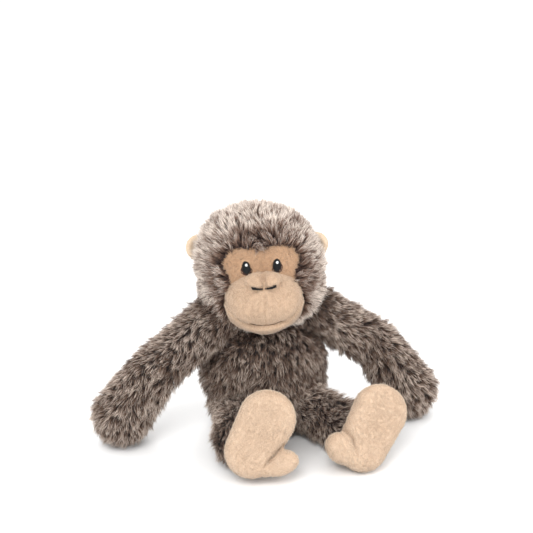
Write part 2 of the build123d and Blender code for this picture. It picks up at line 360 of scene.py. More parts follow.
@dataclass(frozen=True)
class Finishes:
    """Every finish of the toy, built once."""

    head: bpy.types.Material = built(FrostedPile("head_pile", (58, 33, 23), (132, 104, 88), (248, 234, 221)))
    body: bpy.types.Material = built(FrostedPile("body_pile", (40, 22, 13), (108, 84, 69), (226, 208, 193)))
    muzzle: bpy.types.Material = built(ShortPlush("muzzle_plush", (166, 134, 107), (240, 216, 190)))
    face: bpy.types.Material = built(ShortPlush("face_plush", (148, 112, 83), (214, 181, 150)))
    foot: bpy.types.Material = built(ShortPlush("foot_plush", (170, 139, 112), (250, 229, 205)))
    ear: bpy.types.Material = built(ShortPlush("ear_plush", (204, 176, 148), (254, 240, 218)))
    # Each thread's second colour is the painted sheen of its plies.
    black: bpy.types.Material = built(SatinThread("black_thread", (3, 3, 4), (14, 15, 19)))
    # Brown thread of the mouth: its stitches and the painted shade of its crease.
    brown: bpy.types.Material = built(SatinThread("brown_thread", (92, 62, 44), (128, 94, 70)))
    white: bpy.types.Material = built(SatinThread("white_thread", (225, 225, 222), (250, 250, 250)))
    fibre: bpy.types.Material = built(
        LooseFill("polyester_fibre", (205, 205, 200), (245, 245, 242), 160.0, roughness=0.9, cells=False))
    pouch: bpy.types.Material = built(
        LooseFill("pouch_cloth", (196, 190, 178), (226, 221, 210), 1400.0, roughness=0.85, cells=True))
    beads: bpy.types.Material = built(
        LooseFill("plastic_beads", (150, 150, 146), (235, 235, 232), 420.0, roughness=0.35, cells=True))


# ---------------------------------------------------------------- modelling by hand
class Bench:
    """Primitives, joins and modifiers, as done by hand."""

    @staticmethod
    def clear() -> None:
        """Nothing is selected afterwards."""
        bpy.ops.object.select_all(action="DESELECT")

    @staticmethod
    def pick(made: bpy.types.Object) -> None:
        """Only this object is selected and active."""
        Bench.clear()
        made.select_set(True)
        bpy.context.view_layer.objects.active = made

    @staticmethod
    def ball(centre: Vector, radii: Sequence[float], turn: Optional[Matrix] = None,
             sides: int = 28) -> bpy.types.Object:
        """A ball drawn out to an egg.

        Args:
            centre: its middle.
            radii: its half sizes along its own axes.
            turn: how its axes are turned.
            sides: how fine it is.

        Returns:
            The new object.
        """
        Bench.clear()
        bpy.ops.mesh.primitive_uv_sphere_add(segments=sides, ring_count=sides // 2, radius=1.0)
        return Bench.settle(centre, radii, turn or Matrix.Identity(3))

    @staticmethod
    def pillow(centre: Vector, half: Sequence[float], turn: Matrix, rounding: float) -> bpy.types.Object:
        """A flat oval cushion with well rounded edges.

        Args:
            centre: its middle.
            half: its half sizes along its own axes, the last one its half thickness.
            turn: how its axes are turned.
            rounding: how far its edges are rounded.

        Returns:
            The new object.
        """
        Bench.clear()
        bpy.ops.mesh.primitive_cylinder_add(vertices=48, radius=1.0, depth=2.0)
        made = Bench.settle(centre, half, turn)
        Bench.apply(made, "BEVEL", width=rounding, segments=7, limit_method="ANGLE")
        return made

    @staticmethod
    def settle(centre: Vector, half: Sequence[float], turn: Matrix) -> bpy.types.Object:
        """Sizes, turns and moves the newest primitive, and applies that to its mesh."""
        made = bpy.context.active_object
        made.matrix_world = Matrix.Translation(centre) @ turn.to_4x4() @ Matrix.Diagonal((*half, 1.0))
        bpy.ops.object.transform_apply(location=True, rotation=True, scale=True)
        return made

    @staticmethod
    def apply(made: bpy.types.Object, kind: str, **settings: object) -> None:
        """Adds a modifier with those settings and applies it."""
        Bench.pick(made)
        modifier = made.modifiers.new(kind.lower(), kind)
        for name, value in settings.items():
            setattr(modifier, name, value)
        bpy.ops.object.modifier_apply(modifier=modifier.name)

    @staticmethod
    def join(name: str, parts: Sequence[bpy.types.Object]) -> bpy.types.Object:
        """Several closed shapes as one piece."""
        Bench.clear()
        for part in parts:
            part.select_set(True)
        bpy.context.view_layer.objects.active = parts[0]
        bpy.ops.object.join()
        made = bpy.context.active_object
        made.name = name
        made.data.name = name
        return made

    @staticmethod
    def fuse(name: str, parts: Sequence[bpy.types.Object], voxel: float, smoothing: int) -> bpy.types.Object:
        """Joins overlapping parts into one closed soft skin, without what lies inside it.

        Args:
            name: the new piece's name.
            parts: the objects, which are used up.
            voxel: the grid of the remesh.
            smoothing: how many passes of smoothing follow.

        Returns:
            The new piece.
        """
        made = Bench.join(name, parts)
        Bench.apply(made, "REMESH", mode="VOXEL", voxel_size=voxel)
        Bench.keep_outer(made)
        Bench.apply(made, "SMOOTH", factor=0.5, iterations=smoothing)
        return made

    @staticmethod
    def keep_outer(made: bpy.types.Object) -> None:
        """Deletes every loose shell but the one that reaches highest, which is the outer one."""
        mesh = made.data
        owner = list(range(len(mesh.vertices)))

        def find(i: int) -> int:
            """The shell that vertex i belongs to."""
            while owner[i] != i:
                owner[i] = owner[owner[i]]
                i = owner[i]
            return i

        for edge in mesh.edges:
            a, b = find(edge.vertices[0]), find(edge.vertices[1])
            if a != b:
                owner[a] = b
        kept = find(max(range(len(owner)), key=lambda i: mesh.vertices[i].co.z))
        Bench.drop(made, [find(vertex.index) != kept for vertex in mesh.vertices])

    @staticmethod
    def drop(made: bpy.types.Object, unwanted: Sequence[bool]) -> None:
        """Deletes the vertices that are unwanted, and their faces."""
        Bench.pick(made)
        bpy.ops.object.mode_set(mode="EDIT")
        bpy.ops.mesh.select_mode(type="VERT")
        bpy.ops.mesh.select_all(action="DESELECT")
        bpy.ops.object.mode_set(mode="OBJECT")
        for vertex, dropped in zip(made.data.vertices, unwanted):
            vertex.select = bool(dropped)
        bpy.ops.object.mode_set(mode="EDIT")
        bpy.ops.mesh.delete(type="VERT")
        bpy.ops.object.mode_set(mode="OBJECT")

    @staticmethod
    def finish(made: bpy.types.Object, material: bpy.types.Material) -> bpy.types.Object:
        """Gives the piece its finish and smooth shading."""
        made.data.materials.clear()
        made.data.materials.append(material)
        made.data.shade_smooth()
        return made


def read_rows(items: bpy.types.bpy_prop_collection, key: str) -> np.ndarray:
    """Three numbers of each item in a mesh's list, one row each."""
    rows = np.empty(len(items) * 3, np.float32)
    items.foreach_get(key, rows)
    return rows.reshape(-1, 3).astype(float)


def points_of(made: bpy.types.Object) -> np.ndarray:
    """The piece's vertices, one row each."""
    return read_rows(made.data.vertices, "co")


def normals_of(made: bpy.types.Object) -> np.ndarray:
    """The piece's smooth vertex normals, one row each."""
    return read_rows(made.data.vertex_normals, "vector")


def set_points(made: bpy.types.Object, rows: np.ndarray) -> None:
    """Moves the piece's vertices."""
    made.data.vertices.foreach_set("co", rows.astype(np.float32).ravel())
    made.data.update()


def list_by_place(made: bpy.types.Object) -> None:
    """Lists the piece's vertices and faces by place, so that pile grown on it repeats from run to run."""
    rows = points_of(made)
    order = np.lexsort(rows.round(7).T)
    number = np.argsort(order)
    faces = []
    for polygon in made.data.polygons:
        corners = [int(number[i]) for i in polygon.vertices]
        first = corners.index(min(corners))
        faces.append(corners[first:] + corners[:first])
    made.data.clear_geometry()
    made.data.from_pydata(rows[order], [], sorted(faces))
    made.data.update()


def rest_on_floor(made: bpy.types.Object, height: float) -> None:
    """Flattens whatever reaches below that height."""
    rows = points_of(made)
    rows[:, 2] = np.maximum(rows[:, 2], height)
    set_points(made, rows)


# ---------------------------------------------------------------- pile
@dataclass(frozen=True)
class PileCut:
    """How a pile is cut and brushed.

    A strand has a length and a width in metres. Its lower half leans and its upper half droops, both in
    degrees from upright. Ruffle is how unevenly strands stand, tuft how many share a tuft, gather how far
    their tips draw together, and sway how far the brushing wanders. Fleck and patches are how much the tone
    changes from strand to strand and from place to place.
    """

    count: int
    length: float
    width: float
    lean: float
    droop: float
    ruffle: float
    tuft: int
    gather: float
    kind: Strand = Strand.BENT
    sway: float = 0.45
    fleck: float = 0.17
    patches: float = 0.14


HEAD_CUT = PileCut(18000, 14.5 * MM, 0.285 * MM, lean=24, droop=50, ruffle=0.26, tuft=10, gather=0.4)
TORSO_CUT = PileCut(16500, 13.0 * MM, 0.29 * MM, lean=36, droop=64, ruffle=0.3, tuft=10, gather=0.42)
ARM_CUT = PileCut(17000, 13.0 * MM, 0.295 * MM, lean=34, droop=60, ruffle=0.28, tuft=10, gather=0.4)
LEG_CUT = PileCut(10000, 12.5 * MM, 0.29 * MM, lean=34, droop=62, ruffle=0.3, tuft=10, gather=0.42)
MUZZLE_NAP = PileCut(25000, 2.3 * MM, 0.12 * MM, lean=50, droop=74, ruffle=0.22, tuft=4, gather=0.12,
                     kind=Strand.SPIKE, sway=0.3, fleck=0.22, patches=0.04)
FACE_NAP = replace(MUZZLE_NAP, count=17000, fleck=0.24, patches=0.08)
FOOT_NAP = replace(MUZZLE_NAP, count=27000, length=2.5 * MM, width=0.13 * MM, fleck=0.2)
EAR_NAP = PileCut(3500, 1.9 * MM, 0.13 * MM, lean=40, droop=65, ruffle=0.3, tuft=8, gather=0.3,
                  kind=Strand.SPIKE)

STRAND_FACES = {
    Strand.BENT: [(0, 1, 4, 3), (1, 2, 5, 4), (2, 0, 3, 5), (3, 4, 6), (4, 5, 6), (5, 3, 6), (2, 1, 0)],
    Strand.SPIKE: [(0, 1, 3), (1, 2, 3), (2, 0, 3), (2, 1, 0)],
}
STRAND_ALONG = {Strand.BENT: [0.0] * 3 + [0.5] * 3 + [1.0], Strand.SPIKE: [0.0] * 3 + [1.0]}
TUFT_RUFFLE, STRAND_RUFFLE = 0.8, 0.5
SWAY_PATCH, TONE_PATCH = 32 * MM, 21 * MM
MIDDLE_WIDTH = 0.78
PART_GATHER = 0.35
TUFT_FLECK = 0.10
FLOOR_GAP = 0.3 * MM


def scatter(skin: bpy.types.Object, count: int, rng: np.random.Generator,
            keep: Optional[Field]) -> tuple[np.ndarray, np.ndarray]:
    """Random places all over a skin, the same number to each bit of its area.

    Args:
        skin: the piece that the pile grows on.
        count: how many places.
        rng: the random source.
        keep: True for the points where pile grows.

    Returns:
        The places and the skin's normals there.
    """
    mesh = skin.data
    mesh.calc_loop_triangles()
    corners = np.empty(len(mesh.loop_triangles) * 3, np.int32)
    mesh.loop_triangles.foreach_get("vertices", corners)
    corners = corners.reshape(-1, 3)
    co, normals = points_of(skin), normals_of(skin)
    a, b, c = (co[corners[:, i]] for i in range(3))
    area = np.linalg.norm(np.cross(b - a, c - a), axis=1)
    if keep is not None:
        area = area * keep((a + b + c) / 3)
    picked = rng.choice(len(area), size=count, p=area / area.sum())
    u, v = rng.random(count), rng.random(count)
    flip = u + v > 1
    u[flip], v[flip] = 1 - u[flip], 1 - v[flip]
    w = 1 - u - v
    shares = np.stack([w, u, v], axis=1)[:, :, None]
    return (co[corners[picked]] * shares).sum(1), unit((normals[corners[picked]] * shares).sum(1))


def across(rows: np.ndarray, normals: np.ndarray) -> np.ndarray:
    """What is left of each direction along the surface, at length 1."""
    return unit(rows - (rows * normals).sum(1)[:, None] * normals)


def grow(name: str, skin: bpy.types.Object, cut: PileCut, brush: Field, seed: int,
         keep: Optional[Field] = None, shade: Optional[Field] = None,
         trim: Optional[Field] = None) -> bpy.types.Object:
    """Grows pile on a skin as one mesh of closed tapered strands.

    Args:
        name: the new piece's name.
        skin: the piece that it grows on.
        cut: the pile's length, width and brushing.
        brush: which way the pile lies at each place.
        seed: makes the random draws the same each time.
        keep: True where pile grows.
        shade: what is added to each strand's tone, by its place.
        trim: the share of the full length at each place.

    Returns:
        The new piece, with each strand's colour attributes.
    """
    rng = np.random.default_rng(seed)
    roots, normals = scatter(skin, cut.count, rng, keep)
    count = len(roots)
    sway = np.stack([wobble(roots, SWAY_PATCH, rng) for _ in range(3)], 1)
    flow = across(brush(roots) + cut.sway * sway, normals)
    tuft, tuft_count = tufts_of(roots, max(1, count // cut.tuft))
    tuft_jitter = rng.normal(size=(tuft_count, 3))[tuft]
    ruffle = cut.ruffle * (TUFT_RUFFLE * tuft_jitter + STRAND_RUFFLE * rng.normal(size=(count, 3)))
    length = cut.length * (0.72 + 0.4 * rng.random(count)) * (0.86 + 0.28 * rng.random(tuft_count)[tuft])
    if trim is not None:
        length = length * trim(roots)

    def leaning(degrees: float) -> np.ndarray:
        """The way each strand points when it leans that far from upright."""
        angle = math.radians(degrees)
        return unit(normals * math.cos(angle) + flow * math.sin(angle) + ruffle)

    rise = leaning(cut.lean)
    middle = roots + rise * (0.5 * length)[:, None]
    tip = middle + leaning(cut.droop) * (0.5 * length)[:, None]
    tip += cut.gather * (tip[:tuft_count][tuft] - tip) * (1 - PART_GATHER * rng.random(count))[:, None]
    middle += PART_GATHER * cut.gather * (middle[:tuft_count][tuft] - middle)
    tone = (0.5 + cut.patches * wobble(roots, TONE_PATCH, rng) + TUFT_FLECK * rng.normal(size=tuft_count)[tuft]
            + cut.fleck * rng.normal(size=count))
    if shade is not None:
        tone = tone + shade(roots)
    side = unit(np.cross(rise, rng.normal(size=(count, 3))))
    other = np.cross(rise, side)
    angles = [0, 2 * math.pi / 3, 4 * math.pi / 3]
    ring = np.stack([side * math.cos(t) + other * math.sin(t) for t in angles], 1)
    ring = ring * (cut.width * (0.75 + 0.5 * rng.random(count)))[:, None, None]
    parts = [(roots - normals * cut.width)[:, None] + ring]
    if cut.kind is Strand.BENT:
        parts.append(middle[:, None] + ring * MIDDLE_WIDTH)
    co = np.concatenate([*parts, tip[:, None]], 1)
    co[:, :, 2] = np.maximum(co[:, :, 2], FLOOR_GAP)
    return strand_mesh(name, co, cut.kind, np.clip(tone, 0, 1))


def tufts_of(roots: np.ndarray, wanted: int) -> tuple[np.ndarray, int]:
    """Groups strands round the first few of them: each strand's tuft, and how many tufts there are."""
    tree = kdtree.KDTree(wanted)
    for i in range(wanted):
        tree.insert(roots[i], i)
    tree.balance()
    return np.array([tree.find(p)[1] for p in roots]), wanted


def strand_mesh(name: str, co: np.ndarray, kind: Strand, tone: np.ndarray) -> bpy.types.Object:
    """One mesh of many like strands.

    Args:
        name: the new piece's name.
        co: strand by strand, its points.
        kind: how each strand is built.
        tone: one value for each strand.

    Returns:
        The new piece.
    """
    count, each = co.shape[:2]
    faces = STRAND_FACES[kind]
    loops = (np.concatenate(faces)[None, :] + (np.arange(count) * each)[:, None]).ravel()
    totals = np.tile([len(face) for face in faces], count)
    mesh = bpy.data.meshes.new(name)
    mesh.vertices.add(count * each)
    mesh.vertices.foreach_set("co", co.astype(np.float32).ravel())
    mesh.loops.add(len(loops))
    mesh.loops.foreach_set("vertex_index", loops.astype(np.int32))
    mesh.polygons.add(len(totals))
    mesh.polygons.foreach_set("loop_start", (np.cumsum(totals) - totals).astype(np.int32))
    mesh.polygons.foreach_set("loop_total", totals.astype(np.int32))
    for label, values in (("along", np.tile(STRAND_ALONG[kind], count)), ("tone", np.repeat(tone, each))):
        mesh.attributes.new(label, "FLOAT", "POINT").data.foreach_set("value", values.astype(np.float32))
    mesh.update(calc_edges=True)
    mesh.shade_smooth()
    made = bpy.data.objects.new(name, mesh)
    bpy.context.scene.collection.objects.link(made)
    return made


def towards(target: Vector) -> Field:
    """A brush field that points to one place."""
    return lambda rows: unit(np.array(target) - rows)


def place(made: bpy.types.Object, body: Optional[str] = None,
          bend: Optional[tuple[str, str, Vector, Vector]] = None, replaces: Sequence[str] = ()) -> bpy.types.Object:
    """Hangs a piece on the empty of the body that it rides on, or, given a bend, only bakes its place into its
    mesh, and hides the frame nodes that it stands for.

    Args:
        made: the finished piece.
        body: the body that it rides on, if it is one body.
        bend: two joined bodies and the stretch over which it passes from one to the other; only whether it is given
            is used.
        replaces: the frame nodes that it stands for.

    Returns:
        The piece.
    """
    if bend is not None:
        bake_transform(made)
    else:
        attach(made, body)
    if replaces:
        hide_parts(*replaces)
    LOG.info("%s: %d faces", made.name, len(made.data.polygons))
    return made


def thread(start: Vector, end: Vector, out: Vector, width: float, rise: float) -> bpy.types.Object:
    """One stitch: a rounded bar of thread that arches from start to end.

    Args:
        start: where the needle comes up.
        end: where it goes down.
        out: away from the cloth.
        width: the thread's thickness.
        rise: how far its middle stands off.

    Returns:
        The new object.
    """
    x = (end - start).normalized()
    z = (out - x * out.dot(x)).normalized()
    turn = Matrix((x, z.cross(x), z)).transposed()
    return Bench.ball((start + end) / 2, ((end - start).length / 2, width / 2, rise), turn, sides=12)


def limb_skin(name: str, stops: Sequence[tuple[Vector, float]]) -> bpy.types.Object:
    """A stuffed tube of cloth along the middles, in metres, and radii, in millimetres, that it is given."""
    return Bench.fuse(name, [Bench.ball(at, [r * MM] * 3, sides=24) for at, r in stops], 2.6 * MM, 6)


# ---------------------------------------------------------------- head
@dataclass
class Head:
    """The round head with its bare face, muzzle, ears, stitched eyes and nostrils. Sizes in millimetres."""

    finishes: Finishes
    radius: float = 57.0
    face_half_width: float = 37.5
    face_top: float = 33.0
    face_bottom: float = -47.0
    face_corner: float = 21.0
    face_waist: float = 8.5
    eye_lift: float = 1.5
    middle: Vector = field(init=False)
    turn: Matrix = field(init=False)

    def __post_init__(self) -> None:
        """Reads the head's place and tilt from the frame."""
        low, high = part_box("head_stuffing")
        half = (high.x - low.x) / 2
        self.middle = Vector(((low.x + high.x) / 2, (low.y + high.y) / 2, high.z - half))
        x = (centre_of("eye_left") - centre_of("eye_right")).normalized()
        y = UP.cross(x).normalized()
        self.turn = Matrix((x, y, x.cross(y))).transposed()

    def at(self, x: float, y: float, z: float) -> Vector:
        """A point given in the head's own millimetres."""
        return self.middle + self.turn @ (Vector((x, y, z)) * MM)

    def local(self, rows: np.ndarray) -> np.ndarray:
        """Points in the head's own millimetres."""
        return (rows - np.array(self.middle)) @ np.array(self.turn) / MM

    def spot(self, node: str) -> np.ndarray:
        """The middle of a frame node, in the head's own millimetres."""
        return self.local(np.array([centre_of(node)]))[0]

    def world(self, rows: np.ndarray) -> np.ndarray:
        """Points in the head's own millimetres, given back in the room's metres."""
        return rows * MM @ np.array(self.turn).T + np.array(self.middle)

    def turned(self, rows: np.ndarray) -> np.ndarray:
        """Directions in the head's own axes, given back in the room's."""
        return rows @ np.array(self.turn).T

    def egg(self, at: Sequence[float], radii: Sequence[float], sides: int = 32,
            tilt: float = 0.0) -> bpy.types.Object:
        """An egg placed in the head's own millimetres, tilted in the face's plane."""
        turn = self.turn @ Matrix.Rotation(math.radians(tilt), 3, "Y")
        return Bench.ball(self.at(*at), [r * MM for r in radii], turn, sides)

    def pair(self, at: Sequence[float], radii: Sequence[float], sides: int = 32,
             tilt: float = 0.0) -> list[bpy.types.Object]:
        """Two like eggs, one on each side of the head's middle, tilted opposite ways."""
        return [self.egg((way * at[0], *at[1:]), radii, sides, -way * tilt) for way in (-1, 1)]

    def bare(self, rows: np.ndarray, grow_by: float = 0.0) -> np.ndarray:
        """True inside the outline of the bare face.

        Args:
            rows: places in the head's own millimetres.
            grow_by: how much wider the outline is taken.

        Returns:
            One truth value for each place.
        """
        corner = self.face_corner
        waist = np.exp(-((rows[:, 2] - 1) / 12) ** 2)
        half = self.face_half_width + grow_by - self.face_waist * waist
        mid = (self.face_top + self.face_bottom) / 2
        tall = (self.face_top - self.face_bottom) / 2 + grow_by
        dx = np.maximum(np.abs(rows[:, 0]) - (half - corner), 0)
        dz = np.maximum(np.abs(rows[:, 2] - mid) - (tall - corner), 0)
        return (np.hypot(dx, dz) < corner) & (rows[:, 1] < -12)

    def skin(self) -> bpy.types.Object:
        """The head's cover under the pile."""
        parts = [Bench.ball(self.middle, [self.radius * MM] * 3, self.turn, 48),
                 self.egg((-4, 1, 5), (54.5, 54, 53.5), 48),
                 *self.pair((18, 4, -22), (40, 44, 34))]
        made = Bench.fuse("head_cover", parts, 2.6 * MM, 4)
        return Bench.finish(made, self.finishes.head)

    def face(self) -> bpy.types.Object:
        """The bare panel round the eyes: a bowl of plush let into the front of the head."""
        radius = self.radius + 0.7
        made = Bench.ball(self.middle, [radius * MM] * 3, self.turn, 96)
        made.name = "face_panel_plush"
        Bench.drop(made, ~self.bare(self.local(points_of(made)), 3.0))
        rows = self.local(points_of(made))
        x, z = rows[:, 0], rows[:, 2]
        socket = sum(1.3 * np.exp(-((x - way * 15) ** 2 / 90 + (z - 16) ** 2 / 80)) for way in (-1, 1))
        brow = 1.2 * np.exp(-(x ** 2 / 700 + (z - 30) ** 2 / 30))
        set_points(made, self.world(rows * ((radius - socket + brow) / np.linalg.norm(rows, axis=1))[:, None]))
        Bench.apply(made, "SOLIDIFY", thickness=1.6 * MM, offset=-1.0)
        list_by_place(made)
        return Bench.finish(made, self.finishes.face)

    def mouth(self, x: np.ndarray) -> np.ndarray:
        """The height of the mouth's seam, in the head's own millimetres."""
        return -35.5 + 0.0082 * x ** 2 + 4.0e-6 * x ** 4

    def muzzle(self) -> bpy.types.Object:
        """The stuffed muzzle with its nose lobes, cheeks, sewn mouth and lower lip."""
        parts = [
            self.egg((0, -41, -14), (37.5, 38, 29), 48),
            *self.pair((15, -44, -17), (22, 34, 22), 40),
            self.egg((0, -46, -2), (17, 30, 16.5), 40),
            self.egg((0, -38, -30), (36.5, 33.5, 21), 48),
            self.egg((0, -44, -40), (21, 18, 12.5), 32),
            *self.pair((7.6, -66, 8.6), (9.0, 11, 7.2), tilt=14),
            self.egg((0, -55, 6), (14, 14, 9), 32),
        ]
        made = Bench.fuse("muzzle_cover", parts, 1.15 * MM, 3)
        rows = self.local(points_of(made))
        x, z = rows[:, 0], rows[:, 2]
        front = smooth_step(-rows[:, 1], 28, 44)
        mouth = np.exp(-((z - self.mouth(x)) / 1.6) ** 2) * 3.6 * front
        lip = np.exp(-((z - self.mouth(x) + 4.5) / 3.0) ** 2) * -1.5 * front
        below_nose = smooth_step(-z, -3, 4) * (z > self.mouth(x))
        seam = np.exp(-(x / 1.0) ** 2) * 1.1 * front * below_nose
        cleft = np.exp(-(x / 2.2) ** 2) * smooth_step(z, -1, 6) * 1.6 * front
        ledge = np.exp(-((z - self.nostril_line(x)) / 1.5) ** 2) * (np.abs(x) < 16) * 1.1 * front
        depth = (mouth + lip + seam + cleft + ledge) * MM
        set_points(made, points_of(made) - normals_of(made) * depth[:, None])
        return Bench.finish(made, self.finishes.muzzle)

    def nostril_line(self, x: np.ndarray) -> np.ndarray:
        """The height of the fold under the nose, in the head's own millimetres."""
        return 3.8 + 2.6 * np.clip(np.abs(x) / 11, 0, 1) ** 1.3

    def ear_at(self, side: Side) -> tuple[np.ndarray, float]:
        """One ear's middle, in the head's own millimetres, and its radius. The right one sits higher."""
        low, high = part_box(f"ear_{side.word}_front_panel")
        back_low, back_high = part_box(f"ear_{side.word}_back_panel")
        whole = [(min(a, b) + max(c, d)) / 2 for a, b, c, d in zip(low, back_low, high, back_high)]
        centre = self.local(np.array([whole]))[0]
        out, up = (-1.5, -2.0) if side is Side.LEFT else (1.5, 4.5)
        middle = np.array([side.value * (self.radius + 0.5 + out), centre[1], centre[2] + up])
        return middle, (high.z - low.z) / 2 / MM

    def ear(self, side: Side) -> bpy.types.Object:
        """One round ear, dished in front."""
        centre, radius = self.ear_at(side)
        way, x = side.value, centre[0]
        parts = [self.egg(centre, (radius, 4.4, radius), 40),
                 self.egg((x - way * 6, centre[1], centre[2] - 1), (radius * 0.8, 5.5, radius * 0.8), 32)]
        made = Bench.fuse(f"ear_{side.word}", parts, 1.0 * MM, 3)
        rows = self.local(points_of(made))
        reach = np.hypot(rows[:, 0] - x, rows[:, 2] - centre[2])
        dish = 4.2 * np.exp(-(reach / (radius * 0.58)) ** 4) * (rows[:, 1] < centre[1])
        rows[:, 1] += np.minimum(dish, np.maximum(centre[1] + 1.5 - rows[:, 1], 0))
        set_points(made, self.world(rows))
        return Bench.finish(made, self.finishes.ear)

    def on_face(self, x: float, z: float, lift: float) -> Vector:
        """A place on the face panel, lifted off it, from the head's own millimetres."""
        depth = math.sqrt(max((self.radius + lift) ** 2 - x * x - z * z, 0))
        return self.at(x, -depth, z)

    def patch(self, name: str, x: float, z: float, half: tuple[float, float], slant: float, pitch: float,
              lift: float, rng: np.random.Generator) -> bpy.types.Object:
        """A satin-stitched oval: threads laid side by side across it, their ends a little uneven.

        Args:
            name: the new piece's name.
            x: across the face to its middle, in millimetres.
            z: up to its middle.
            half: its half width and half height.
            slant: the threads' angle from level, in degrees.
            pitch: how far apart the threads lie.
            lift: how far off the head's radius they lie.
            rng: the random source of the uneven ends.

        Returns:
            The new piece.
        """
        c, s = math.cos(math.radians(slant)), math.sin(math.radians(slant))
        reach = math.hypot(half[0] * s, half[1] * c)
        parts = []
        steps = int(reach / pitch)
        for i in range(-steps, steps + 1):
            d = i * pitch
            a = (c / half[0]) ** 2 + (s / half[1]) ** 2
            b = 2 * d * c * s * (1 / half[1] ** 2 - 1 / half[0] ** 2)
            k = (d * s / half[0]) ** 2 + (d * c / half[1]) ** 2 - 1
            root = b * b - 4 * a * k
            if root <= 0:
                continue
            ends = [(-b - math.sqrt(root)) / (2 * a) - rng.uniform(0.0, 0.5),
                    (-b + math.sqrt(root)) / (2 * a) + rng.uniform(0.0, 0.5)]
            spots = [(x + t * c - d * s, z + t * s + d * c) for t in ends]
            start, end = (self.on_face(px, pz, lift) for px, pz in spots)
            out = self.at(x, -200, z) - self.at(0, 0, 0)
            parts.append(thread(start, end, out, pitch * 1.5 * MM, 0.75 * MM))
        return Bench.finish(Bench.join(name, parts), self.finishes.black)

    def eyes(self) -> None:
        """The two stitched eyes, each with a small white stitch for the light in it."""
        rng = np.random.default_rng(41)
        for side in Side:
            spots = {part: self.spot(f"{part}_{side.word}") for part in ("eye", "eye_glint")}
            x, _, z = spots["eye"]
            eye = self.patch(f"eye_{side.word}_stitches", x, z + self.eye_lift, (4.1, 5.6), -14.0 * side.value,
                             pitch=0.55, lift=0.6, rng=rng)
            place(eye, "head", replaces=[f"eye_{side.word}"])
            x, _, z = spots["eye_glint"]
            glint = self.patch(f"eye_{side.word}_light", x - 0.2, z + self.eye_lift, (1.1, 1.05), 8.0,
                               pitch=0.45, lift=1.4, rng=rng)
            place(Bench.finish(glint, self.finishes.white), "head",
                  replaces=[f"eye_glint_{side.word}"])

    def nostrils(self, muzzle: bpy.types.Object) -> None:
        """The dark stitches in the fold under the nose, laid on the muzzle's own surface."""
        tree = kdtree.KDTree(len(muzzle.data.vertices))
        rows = self.local(points_of(muzzle))
        flat = rows.copy()
        flat[:, 1] = 0
        for i, (row, spot) in enumerate(zip(rows, flat)):
            if row[1] < -60:
                tree.insert(spot, i)
        tree.balance()
        rng = np.random.default_rng(7)
        for side in Side:
            parts = []
            for x in np.arange(1.3, 11.6, 0.5):
                tall = 1.0 + 2.3 * float(smooth_step(np.array(x), 3.0, 9.0)) + rng.uniform(-0.4, 0.4)
                middle = float(self.nostril_line(np.array([x]))[0]) + rng.uniform(-0.3, 0.3)
                ends = []
                for way in (-0.5, 0.5):
                    px, pz = side.value * (x + way * 0.5), middle + way * tall
                    near = [rows[hit[1]][1] for hit in tree.find_range((px, 0, pz), 1.8)]
                    near.append(rows[tree.find((px, 0, pz))[1]][1])
                    ends.append(self.at(px, min(near) - 0.5, pz))
                parts.append(thread(ends[0], ends[1], self.turn @ Vector((0, -1, 0)), 0.8 * MM, 1.0 * MM))
            made = Bench.finish(Bench.join(f"nostril_{side.word}_stitches", parts), self.finishes.black)
            place(made, "head", replaces=[f"nostril_{side.word}"])

    def mouth_stitches(self, muzzle: bpy.types.Object) -> None:
        """Small brown stitches all along the mouth's seam: partly its own stitches, partly painted shade of the
        mouth's crease.
        """
        rows = self.local(points_of(muzzle))
        front = rows[rows[:, 1] < -20]
        rng = np.random.default_rng(19)
        parts = []
        spots = np.linspace(-27, 27, 46)
        for first, second in zip(spots[:-1], spots[1:]):
            ends = []
            for x in (first, second + 0.4):
                z = float(self.mouth(np.array([x]))[0])
                near = front[np.argmin((front[:, 0] - x) ** 2 + (front[:, 2] - z) ** 2)]
                ends.append(self.at(x, near[1] - 0.1, z + rng.uniform(-0.15, 0.15)))
            parts.append(thread(ends[0], ends[1], self.turn @ Vector((0, -1, -0.3)), 0.55 * MM, 0.4 * MM))
        made = Bench.finish(Bench.join("mouth_stitches", parts), self.finishes.brown)
        place(made, "head")

    def brush(self, rows: np.ndarray) -> np.ndarray:
        """How the head's pile lies: away from the face in front, down behind, and over the brow's middle."""
        own = self.local(rows)
        away = own - np.array([0.0, -60.0, -4.0])
        down = np.tile([0.0, 0.3, -1.0], (len(own), 1))
        behind = smooth_step(own[:, 1], -10, 40)[:, None]
        lie = unit(away) * (1 - behind) + down * behind
        fringe = (np.exp(-(own[:, 0] / 11) ** 2) * smooth_step(-own[:, 1], 20, 40)
                  * (1 - smooth_step(own[:, 2], 42, 52)))[:, None]
        lie = lie * (1 - 1.5 * fringe)
        return self.turned(lie)

    def shade(self, rows: np.ndarray) -> np.ndarray:
        """The head's pile is lightest on the crown and darkest round the face."""
        own = self.local(rows)
        to_face = np.hypot(own[:, 0], own[:, 2] - 2) + 0.3 * own[:, 1]
        rim = np.exp(-((to_face - 26) / 11) ** 2) * (own[:, 1] < -5)
        return 0.15 + 0.02 * smooth_step(own[:, 2], 10, 55) - 0.36 * rim

